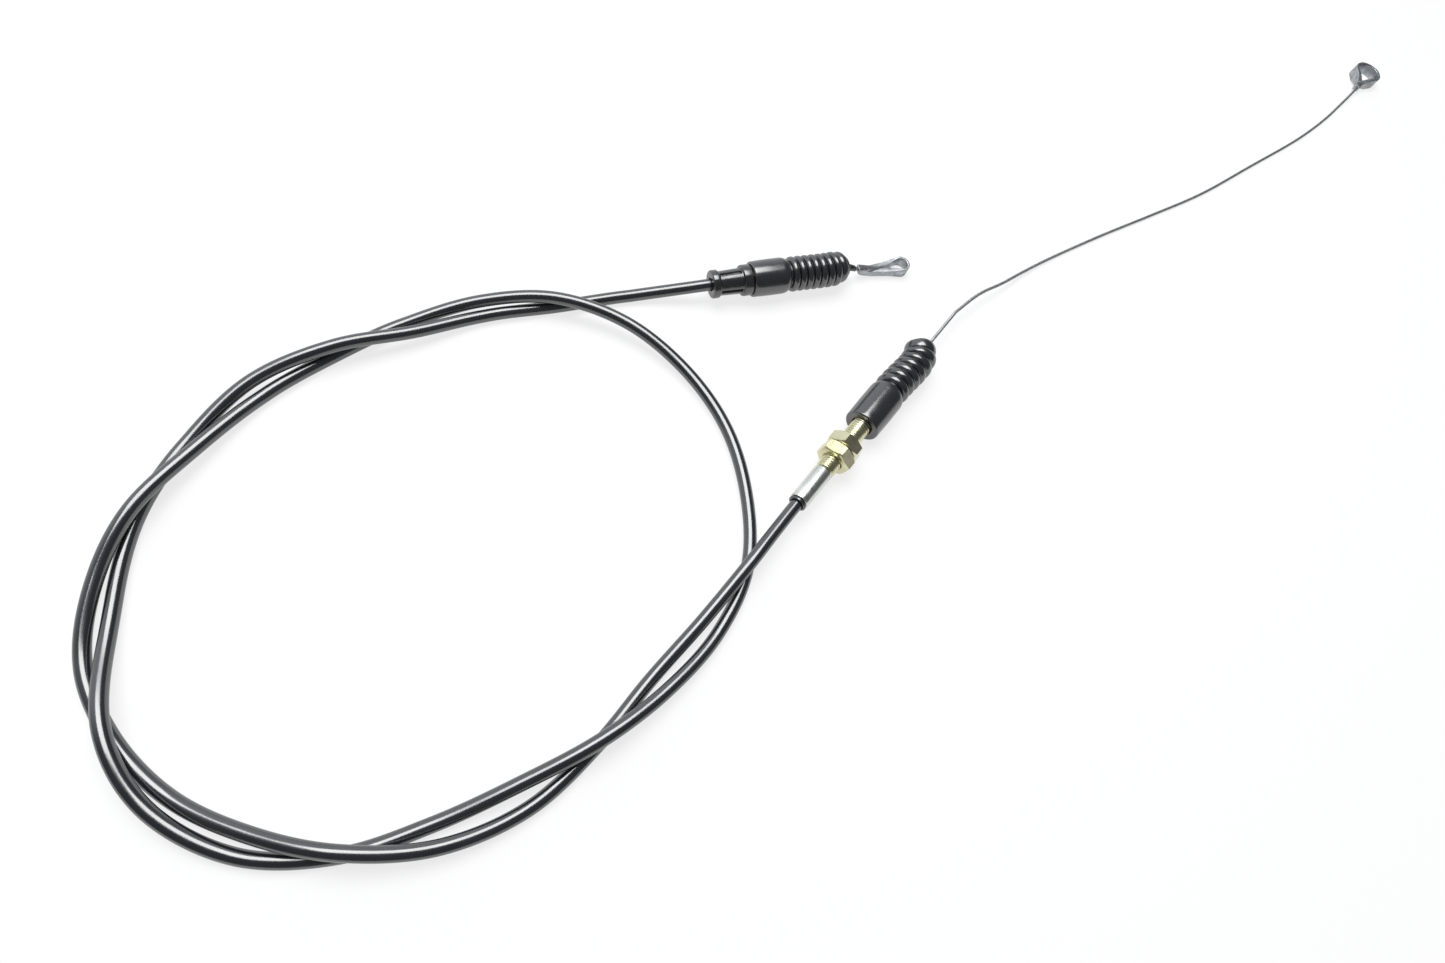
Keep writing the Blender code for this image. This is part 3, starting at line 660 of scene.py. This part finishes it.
def make_wire_a(material):
    """The wire at end A, mostly hidden in its boot and sleeve."""
    start = SOCKET_DEPTH_A + GAP
    end = EYE_A_START + NECK_BORE_DEPTH - GAP
    count = round((end - start) / WIRE_STEP)
    points = []
    for number in range(count + 1):
        along = start + (end - start) * number / count
        points.append(place_a(along, AXIS_HEIGHT + droop(along)))
    verts, faces = stranded(points, WIRE_DIAMETER)
    shown("wire_a", verts, faces, material, "wire_a", "inner_wire_a", sharp=60)


# End fittings

def fluted(along, radius):
    """Ferrule A's radius at a place along it: a function of the angle where its flutes run.

    The first flute is just beyond the top."""
    turn = 2 * math.pi / FLUTE_COUNT
    depth = FLUTE_DEPTH * eased(along, FLUTE_START, FLUTE_START + FLUTE_WALL)
    depth *= 1 - eased(along, FLUTE_END - FLUTE_WALL, FLUTE_END)

    def at(angle):
        offset = (angle - math.pi / 2 + FLUTE_TURN + turn / 2) % turn - turn / 2
        beside = abs(offset) * (GROOVE_DIAMETER / 2) - FLUTE_WIDTH / 2
        return radius - depth * (1 - eased(beside, -FLUTE_WALL, FLUTE_WALL))

    return at if radius > SHEATH_BORE and depth > 0 else radius


def make_ferrule_a(material):
    """Moulded ferrule: flange, fluted bracket groove, collar and the spigot that the boot sits on."""
    flange = FLANGE_DIAMETER / 2
    groove = GROOVE_DIAMETER / 2
    collar = COLLAR_DIAMETER / 2
    spigot = SPIGOT_DIAMETER / 2
    end = SPIGOT_A + SPIGOT_LENGTH
    corners = [
        (0.0, flange, FLANGE_ROUND),
        (FLANGE_WIDTH, flange, FLANGE_BACK_ROUND),
        (FLANGE_WIDTH + FLANGE_SLOPE, groove - GROOVE_TAPER, GROOVE_FILLET),
        (FLUTE_START, groove - GROOVE_TAPER, 0.0),
        (FLUTE_START + FLUTE_WALL, groove - GROOVE_TAPER, 0.0),
        (FLUTE_END - FLUTE_WALL, groove + GROOVE_TAPER, 0.0),
        (FLUTE_END, groove + GROOVE_TAPER, 0.0),
        (COLLAR_A, groove + GROOVE_TAPER, SHOULDER_FILLET),
        (COLLAR_A, collar, COLLAR_ROUND),
        (SPIGOT_A, collar, COLLAR_BACK_ROUND),
        (SPIGOT_A, spigot, 0.0),
        (end, spigot, SPIGOT_ROUND),
        (end, LINER_BORE, 0.0),
        (SOCKET_DEPTH_A, LINER_BORE, 0.0),
        (SOCKET_DEPTH_A, SHEATH_BORE, 0.0),
        (0.0, SHEATH_BORE, BORE_ROUND),
    ]
    left = directions(place_a)[1]
    rings = []
    for along, radius in softened(corners):
        rings.append(round_ring(place_a(along), left, fluted(along, radius), FERRULE_SIDES))
    verts, faces = skin(rings, wrapped=True)
    shown("ferrule_a", verts, faces, material, "cable", "end_ferrule_a")


def make_seal_b(material):
    """Thin black seal round the sheath at the mouth of the crimp tube."""
    outer = SEAL_DIAMETER / 2
    corners = [
        (-GAP - SEAL_LENGTH, outer, SEAL_ROUND),
        (-GAP, outer, SEAL_BACK_ROUND),
        (-GAP, SHEATH_BORE, 0.0),
        (-GAP - SEAL_LENGTH, SHEATH_BORE, SEAL_BORE_ROUND),
    ]
    verts, faces = skin(turned_rings(softened(corners), place_b), wrapped=True)
    shown("seal_b", verts, faces, material, "cable", "sheath_seal_b")


def make_crimp_b(material):
    """Smooth plated tube, crimped on the sheath."""
    outer = CRIMP_DIAMETER / 2
    corners = [
        (0.0, outer - CRIMP_TAPER, CRIMP_ROUND),
        (CRIMP_LENGTH, outer, CRIMP_ROUND),
        (CRIMP_LENGTH, SHEATH_BORE, 0.0),
        (0.0, SHEATH_BORE, BORE_ROUND),
    ]
    verts, faces = skin(turned_rings(softened(corners), place_b), wrapped=True)
    shown("crimp_b", verts, faces, material, "cable", "crimp_tube_b")


def make_adjuster_b(material):
    """Hollow screw with a rolled thread."""
    outer = THREAD_DIAMETER / 2
    tail = SHEATH_DIAMETER / 2
    nose = NOSE_DIAMETER / 2
    nose_end = THREAD_END + NOSE_LENGTH
    steps = round(THREAD_LENGTH / (THREAD_PITCH / THREAD_STEPS))
    left = directions(place_b)[1]

    def ring(along, radius, thread=0.0):
        def at(angle):
            turn = ((along - THREAD_START) / THREAD_PITCH - angle / (2 * math.pi)) % 1.0
            cut = max(0.0, 1 - abs(2 * turn - 1) * THREAD_SHARPNESS)
            return radius - cut * THREAD_DEPTH * thread

        return round_ring(place_b(along), left, at)

    rings = [ring(SOCKET_DEPTH_B, tail), ring(THREAD_START, tail)]
    rings.append(ring(THREAD_START, outer - THREAD_CHAMFER))
    for step in range(steps + 1):
        along = THREAD_START + THREAD_LENGTH * step / steps
        edge = min(along - THREAD_START, THREAD_END - along)
        radius = min(outer, outer - THREAD_CHAMFER + edge)
        rings.append(ring(along, radius, min(1.0, edge / THREAD_CHAMFER)))
    rings += [ring(THREAD_END, nose), ring(nose_end, nose), ring(nose_end, LINER_BORE)]
    rings.append(ring(SOCKET_DEPTH_B, LINER_BORE))
    verts, faces = skin(rings, wrapped=True)
    shown("adjuster_b", verts, faces, material, "cable", "threaded_adjuster_b", sharp=50)


def hexagon(angle):
    """Distance from a nut's axis to its side, at an angle from the middle of a side."""
    turned = (angle + math.pi / 6) % (math.pi / 3) - math.pi / 6
    return NUT_ACROSS_FLATS / 2 / math.cos(turned)


def make_nut(number, material):
    """Chamfered hexagon nut: a prism cut by a double cone, with its edges eased."""
    place = NUT_FIRST_PLACE + (NUT_THICKNESS + GAP) * number
    turn = NUT_TURNS[number]
    left = directions(place_b)[1]
    bore = THREAD_DIAMETER / 2 + NUT_PLAY
    around = 180
    slope = math.tan(NUT_CONE)
    face = NUT_ACROSS_FLATS / 2 - NUT_FACE_INSET
    ease = NUT_EASE

    def ring(along, inset=None, radius=None, chamfered=0.0):
        points = []
        for step in range(around):
            angle = 2 * math.pi * step / around + turn
            side = hexagon(angle - turn)
            reach = radius if inset is None else side - inset
            drop = max(0.0, (side - face) * slope) * chamfered
            centre = place_b(place + along + drop)
            points.append(
                centre + left * (reach * math.cos(angle)) + Vector((0, 0, reach * math.sin(angle)))
            )
        return points

    half = [
        ring(NUT_LEAD_DEPTH, radius=bore),
        ring(0.0, radius=bore + NUT_LEAD_WIDTH),
        ring(0.0, radius=face - ease),
        ring(ease * 0.3, radius=face),
        ring(ease * 0.2, inset=ease, chamfered=1.0),
        ring(ease, inset=0.0, chamfered=1.0),
    ]
    other = [
        ring(NUT_THICKNESS - ease, inset=0.0, chamfered=-1.0),
        ring(NUT_THICKNESS - ease * 0.2, inset=ease, chamfered=-1.0),
        ring(NUT_THICKNESS - ease * 0.3, radius=face),
        ring(NUT_THICKNESS, radius=face - ease),
        ring(NUT_THICKNESS, radius=bore + NUT_LEAD_WIDTH),
        ring(NUT_THICKNESS - NUT_LEAD_DEPTH, radius=bore),
    ]
    verts, faces = skin(half + other, wrapped=True)
    name = f"nut_{number + 1}"
    shown(name, verts, faces, material, name, f"lock_nut_b{number + 1}", sharp=24)


# Bellows boots

def barrel_outline(start, neck):
    """Outside of a boot's barrel: rounded mouth, slight swell, and a shoulder down to the neck."""
    mouth = MOUTH_DIAMETER / 2
    outer = BARREL_DIAMETER / 2
    drop = outer - RIB_VALLEY_DIAMETER / 2
    middle = (start + neck) / 2
    outline = []
    steps = 6
    for step in range(steps):
        turn = math.pi / 2 * step / steps
        along = start + BARREL_EDGE * (1 - math.cos(turn))
        outline.append((along, mouth - BARREL_EDGE * (1 - math.sin(turn))))
    for step in range(steps + 1):
        share = step / steps
        along = start + BARREL_EDGE + (middle - start - BARREL_EDGE) * share
        outline.append((along, mouth + (outer - mouth) * math.sin(math.pi / 2 * share)))
    steps = 14
    for step in range(steps):
        turn = math.pi / 2 * step / steps
        along = neck - BARREL_SHOULDER * (1 - math.sin(turn))
        outline.append((along, outer - drop * (1 - math.cos(turn))))
    return outline


def rib_crests(form):
    """Radius of each rib's crest."""
    return [RIB_DIAMETER / 2] * (form["ribs"] - 1) + [LAST_RIB_DIAMETER / 2]


def boot_outline(start, form):
    """Outside of a boot: barrel, flat neck, round ribs and the cap at its tip."""
    valley = RIB_VALLEY_DIAMETER / 2
    cap = CAP_DIAMETER / 2
    pitch = form["pitch"]
    neck = start + form["barrel"]
    cap_start = neck + form["ribs"] * pitch
    end = cap_start + CAP_THICKNESS
    outline = barrel_outline(start, neck - NECK_FLAT) + [(neck - NECK_FLAT, valley)]
    rib_steps = 14
    for index, crest in enumerate(rib_crests(form)):
        for step in range(rib_steps):
            share = step / rib_steps
            lift = math.sqrt(max(0.0, 1 - (2 * share - 1) ** 2)) ** RIB_FULLNESS
            outline.append((neck + pitch * (index + share), valley + (crest - valley) * lift))
    outline += [(cap_start, valley - CAP_GROOVE), (cap_start + CAP_STEP_WIDTH, cap + CAP_STEP_HEIGHT)]
    outline += [(end + along * MM, cap + aside * MM) for along, aside in CAP_EDGE]
    return outline


def make_boot(name, node, start, form, place, material):
    """Rubber boot: barrel, neck and round ribs whose rings follow the bent bellows, and a wiper lip."""
    valley = RIB_VALLEY_DIAMETER / 2
    lip = WIRE_DIAMETER / 2 + WIPER_CLEARANCE
    seat = form["seat"]
    pitch = form["pitch"]
    neck = start + form["barrel"]
    bellows = form["ribs"] * pitch
    cap_start = neck + bellows
    end = cap_start + CAP_THICKNESS
    ahead, left = directions(place)

    def ring(along, radius, on_wire=False):
        """A ring that leans with the bellows. On the wire, its centre stays on the end's axis."""
        share = min(1.0, max(0.0, (along - neck) / bellows))
        aside = form["tip_shift"] * share**BEND_SHARPNESS - form["lean"] * math.sin(math.pi * share**2)
        tilt = form["tilt"] * eased(share, TILT_START, 1.0)
        across = left * math.cos(tilt) - ahead * math.sin(tilt)
        centre = place(along)
        centre += ahead * (aside * math.tan(tilt)) if on_wire else left * aside
        return round_ring(centre, across, radius)

    rings = [ring(along, radius) for along, radius in boot_outline(start, form)]
    rings.append(ring(end, lip + LIP_LEAD_WIDTH, True))
    rings.append(ring(end - LIP_LEAD_DEPTH, lip, True))
    rings.append(ring(cap_start, lip, True))
    rings.append(ring(cap_start, CAP_DIAMETER / 2 - BOOT_WALL))
    for index, crest in reversed(list(enumerate(rib_crests(form)))):
        rings.append(ring(neck + pitch * (index + 0.5), crest - BOOT_WALL))
        if index > 0:
            rings.append(ring(neck + pitch * index, valley - BOOT_WALL))
    rings.append(ring(neck - BOOT_WALL, seat))
    rings.append(ring(start + SEAT_LEAD_DEPTH, seat))
    rings.append(ring(start + MOUTH_FLAT, seat + SEAT_LEAD_WIDTH))
    verts, faces = skin(rings, wrapped=True)
    shown(name, verts, faces, material, "cable", node, sharp=70)


def make_sleeve_a(material):
    """Short black sleeve on the wire, a little crushed, tapered towards the eye."""
    stations = 24
    sides = 40
    start, tip = SLEEVE_DIAMETER / 2, SLEEVE_TIP_DIAMETER / 2
    bore = WIRE_DIAMETER / 2 + SLEEVE_PLAY
    outline = [(0.0, bore), (0.0, start - SLEEVE_ROUND)]
    for step in range(stations + 1):
        share = step / stations
        ends = min(1.0, min(share, 1 - share) * SLEEVE_END_STEEPNESS)
        crush = 1 - SLEEVE_CRUSH + SLEEVE_CRUSH * ends**0.5
        outline.append((share, (start + (tip - start) * share**2) * crush))
    outline += [(1.0, tip - SLEEVE_TIP_ROUND), (1.0, bore)]
    left = directions(place_a)[1]
    rings = []
    for share, radius in outline:
        along = SLEEVE_START + SLEEVE_LENGTH * share
        centre = place_a(along, AXIS_HEIGHT + droop(along))

        def crushed(angle, radius=radius, share=share):
            return radius * (1 + SLEEVE_OVAL * math.cos(2 * angle + SLEEVE_TWIST * share))

        rings.append(round_ring(centre, left, crushed, sides))
    verts, faces = skin(rings, wrapped=True)
    shown("sleeve_a", verts, faces, material, "wire_a", "wire_sleeve_a")


# Eyes

def teardrop(apex, centre, radius, straight, steps):
    """Half outline of a teardrop: from its apex (x, y) along the tangent, then round the circle."""
    reach = math.hypot(centre - apex[0], apex[1])
    tangent = math.asin(radius / reach) - math.atan2(apex[1], centre - apex[0])
    first = math.pi / 2 + tangent
    contact = (centre + radius * math.cos(first), radius * math.sin(first))
    points = []
    for step in range(straight):
        share = step / straight
        x = apex[0] + (contact[0] - apex[0]) * share
        points.append((x, apex[1] + (contact[1] - apex[1]) * share))
    for step in range(steps + 1):
        angle = first * (1 - step / steps)
        points.append((centre + radius * math.cos(angle), radius * math.sin(angle)))
    return points


def band_section(width, half_out, half_in):
    """Outline across the band, (depth, height), from its outside over the top to its inside and back."""
    reach = min(EYE_EDGE_ROUND, width * EYE_EDGE_SHARE)
    arcs = 4
    top = []
    for step in range(arcs + 1):
        turn = math.pi / 2 * step / arcs
        top.append((reach * (1 - math.cos(turn)), half_out - reach * (1 - math.sin(turn))))
    for step in range(arcs + 1):
        turn = math.pi / 2 * (1 - step / arcs)
        top.append((width - reach * (1 - math.cos(turn)), half_in - reach * (1 - math.sin(turn))))
    return top + [(depth, -height) for depth, height in reversed(top)]


def eye_outlines(form):
    """Outer and inner outline of an eye seen from above, point for point, as lists of (x, y)."""
    keys = ("length", "width", "wall", "hole", "neck")
    length, width, wall, hole, neck = (form[key] * MM for key in keys)
    radius = width / 2
    centre = length - radius
    half_neck = NECK_DIAMETER / 2
    hole_radius = radius - wall
    hole_apex = centre + hole_radius - hole
    neck_steps, straight, steps = 6, 14, 26
    outer = [(neck * step / neck_steps, half_neck) for step in range(neck_steps)]
    outer += teardrop((neck, half_neck), centre, radius, straight, steps)
    inner = [(hole_apex, 0.0)] * neck_steps
    inner += teardrop((hole_apex, 0.0), centre, hole_radius, straight, steps)
    inner = [(x, max(y, HOLE_SEAM * index / len(inner))) for index, (x, y) in enumerate(inner)]
    outer += [(x, -y) for x, y in reversed(outer[:-1])]
    inner += [(x, -y) for x, y in reversed(inner[:-1])]
    return outer, inner


def eye_mesh(form, origin, azimuth, lift, seed):
    """Wire eye as a flat band bent round a teardrop hole: a rounded section carried round the loop.

    lift(x) is the height of the band's middle above the axis of the neck at origin."""
    band = form["band"] * MM
    half_neck = NECK_DIAMETER / 2
    flare_start, flare_end = (place * MM for place in form["flare"])
    ahead = Vector((math.cos(azimuth), math.sin(azimuth), 0.0))
    left = Vector((-ahead.y, ahead.x, 0.0))

    def half_height(x, y, salt):
        plain = half_neck + (band / 2 - half_neck) * eased(x, flare_start, flare_end)
        return plain + WEAR_HEIGHT * noise.noise(Vector((x * WEAR_WAVES, y * WEAR_WAVES, seed + salt)))

    rings = []
    for (ox, oy), (ix, iy) in zip(*eye_outlines(form)):
        out, inn = Vector((ox, oy)), Vector((ix, iy))
        inward = (inn - out).normalized()
        half_in = half_height(ix, iy, INNER_WEAR_SALT)
        ring = []
        for depth, height in band_section((inn - out).length, half_height(ox, oy, 0), half_in):
            flat = out + inward * depth
            pit = Vector((flat.x * PIT_WAVES, flat.y * PIT_WAVES, height * PIT_WAVES + seed))
            flat -= inward * (PIT_DEPTH * noise.noise(pit))
            point = origin + ahead * flat.x + left * flat.y + Vector((0, 0, height + lift(flat.x)))
            point.z = max(point.z, 0.0)
            ring.append(point)
        rings.append(ring)
    return skin(rings, wrapped=True)


def make_eyes(material):
    place = place_a(EYE_A_START)
    verts, faces = eye_mesh(EYE_A, place, 0.0, lambda x: droop(EYE_A_START + x), EYE_A_SEED)
    shown("eye_a", verts, faces, material, "wire_a", "loop_eye_a", sharp=50)
    place = EYE_B_PLACE + Vector((0, 0, EYE_B["band"] * MM / 2))
    verts, faces = eye_mesh(EYE_B, place, EYE_B_AZIMUTH, lambda x: 0.0, EYE_B_SEED)
    return shown("eye_b", verts, faces, material, "wire_b", "teardrop_eye_b", sharp=50)


# Floor and light

def glow_of(material):
    """How much of the floor glows: mostly near the object, wholly far from it, only where it is seen."""
    nodes, links = material.node_tree.nodes, material.node_tree.links
    place = nodes.new("ShaderNodeTexCoord")
    distance = nodes.new("ShaderNodeVectorMath")
    distance.operation = "LENGTH"
    links.new(place.outputs["Object"], distance.inputs[0])
    spread = nodes.new("ShaderNodeMapRange")
    spread.inputs["From Min"].default_value = GLOW_PLACES[0]
    spread.inputs["From Max"].default_value = GLOW_PLACES[1]
    spread.inputs["To Min"].default_value = GLOW_NEAR
    spread.inputs["To Max"].default_value = GLOW_FAR
    links.new(distance.outputs["Value"], spread.inputs["Value"])
    light_path = nodes.new("ShaderNodeLightPath")
    seen = light_path.outputs["Is Camera Ray"]
    for other in ("Is Glossy Ray", "Is Transmission Ray"):
        adder = nodes.new("ShaderNodeMath")
        adder.use_clamp = True
        links.new(seen, adder.inputs[0])
        links.new(light_path.outputs[other], adder.inputs[1])
        seen = adder.outputs["Value"]
    share = nodes.new("ShaderNodeMath")
    share.operation = "MULTIPLY"
    links.new(seen, share.inputs[0])
    links.new(spread.outputs["Result"], share.inputs[1])
    return share.outputs["Value"]


def make_floor():
    """Pale floor, partly lit from within where it is seen, so that shadows on it stay faint."""
    mesh = bpy.data.meshes.new("floor")
    reach = FLOOR_REACH
    corners = [(-reach, -reach, 0), (reach, -reach, 0), (reach, reach, 0), (-reach, reach, 0)]
    mesh.from_pydata(corners, [], [(0, 1, 2, 3)])
    material, shader = new_material("floor", FLOOR_COLOUR, FLOOR_ROUGHNESS, 0.0)
    shader.inputs["Specular IOR Level"].default_value = 0.0
    nodes, links = material.node_tree.nodes, material.node_tree.links
    glow = nodes.new("ShaderNodeEmission")
    glow.inputs["Color"].default_value = WHITE
    mix = nodes.new("ShaderNodeMixShader")
    links.new(glow_of(material), mix.inputs["Fac"])
    links.new(shader.outputs["BSDF"], mix.inputs[1])
    links.new(glow.outputs["Emission"], mix.inputs[2])
    links.new(mix.outputs["Shader"], nodes["Material Output"].inputs["Surface"])
    mesh.materials.append(material)
    floor = bpy.data.objects.new("floor", mesh)
    bpy.context.scene.collection.objects.link(floor)


def area_light(name, place, aim, size, power):
    """A soft rectangular lamp at a place, turned towards its aim."""
    data = bpy.data.lights.new(name, "AREA")
    data.shape = "RECTANGLE"
    data.size, data.size_y = size
    data.energy = power
    lamp = bpy.data.objects.new(name, data)
    bpy.context.scene.collection.objects.link(lamp)
    lamp.location = place
    lamp.rotation_euler = (Vector(place) - Vector(aim)).to_track_quat("Z", "Y").to_euler()


def make_world():
    """Dim surroundings, brighter towards a pale wall on one side. The camera itself sees plain white."""
    world = bpy.data.worlds.new("studio")
    world.use_nodes = True
    nodes, links = world.node_tree.nodes, world.node_tree.links
    direction = nodes.new("ShaderNodeTexCoord")
    facing = nodes.new("ShaderNodeVectorMath")
    facing.operation = "DOT_PRODUCT"
    facing.inputs[1].default_value = WALL_DIRECTION
    links.new(direction.outputs["Generated"], facing.inputs[0])
    strength = nodes.new("ShaderNodeMapRange")
    strength.interpolation_type = "SMOOTHSTEP"
    strength.inputs["From Min"].default_value = WALL_EDGE[0]
    strength.inputs["From Max"].default_value = WALL_EDGE[1]
    strength.inputs["To Min"].default_value = DIM_STRENGTH
    strength.inputs["To Max"].default_value = WALL_STRENGTH
    links.new(facing.outputs["Value"], strength.inputs["Value"])
    background = nodes["Background"]
    background.inputs["Color"].default_value = WALL_COLOUR
    links.new(strength.outputs["Result"], background.inputs["Strength"])
    white = nodes.new("ShaderNodeBackground")
    white.inputs["Color"].default_value = WHITE
    light_path = nodes.new("ShaderNodeLightPath")
    mix = nodes.new("ShaderNodeMixShader")
    links.new(light_path.outputs["Is Camera Ray"], mix.inputs["Fac"])
    links.new(background.outputs["Background"], mix.inputs[1])
    links.new(white.outputs["Background"], mix.inputs[2])
    links.new(mix.outputs["Shader"], nodes["World Output"].inputs["Surface"])
    bpy.context.scene.world = world


def make_light():
    area_light("overhead", LAMP_PLACE, LAMP_AIM, LAMP_SIZE, LAMP_POWER)
    make_world()
    bpy.context.scene.view_settings.view_transform = "Standard"


def main():
    make_camera()
    make_sheath(sheath_material())
    wire_steel = wire_material()
    wire, wire_points = make_wire_b(wire_steel)
    eye = make_eyes(eye_zinc_material())
    make_wire_a(wire_steel)
    moulded = moulded_material()
    make_ferrule_a(moulded)
    make_seal_b(moulded)
    make_crimp_b(silver_zinc_material())
    yellow = yellow_zinc_material()
    make_adjuster_b(yellow)
    make_nut(0, yellow)
    make_nut(1, yellow)
    rubber = rubber_material()
    make_boot("boot_a", "bellows_boot_a", BOOT_A_PLACE, BOOT_A, place_a, rubber)
    make_boot("boot_b", "bellows_boot_b", BOOT_B_PLACE, BOOT_B, place_b, rubber)
    make_sleeve_a(sleeve_material())
    liner = liner_material()
    for node in ("guide_liner_a", "guide_liner_b"):
        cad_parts[node].data.materials.clear()
        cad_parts[node].data.materials.append(liner)
    make_floor()
    make_light()


main()
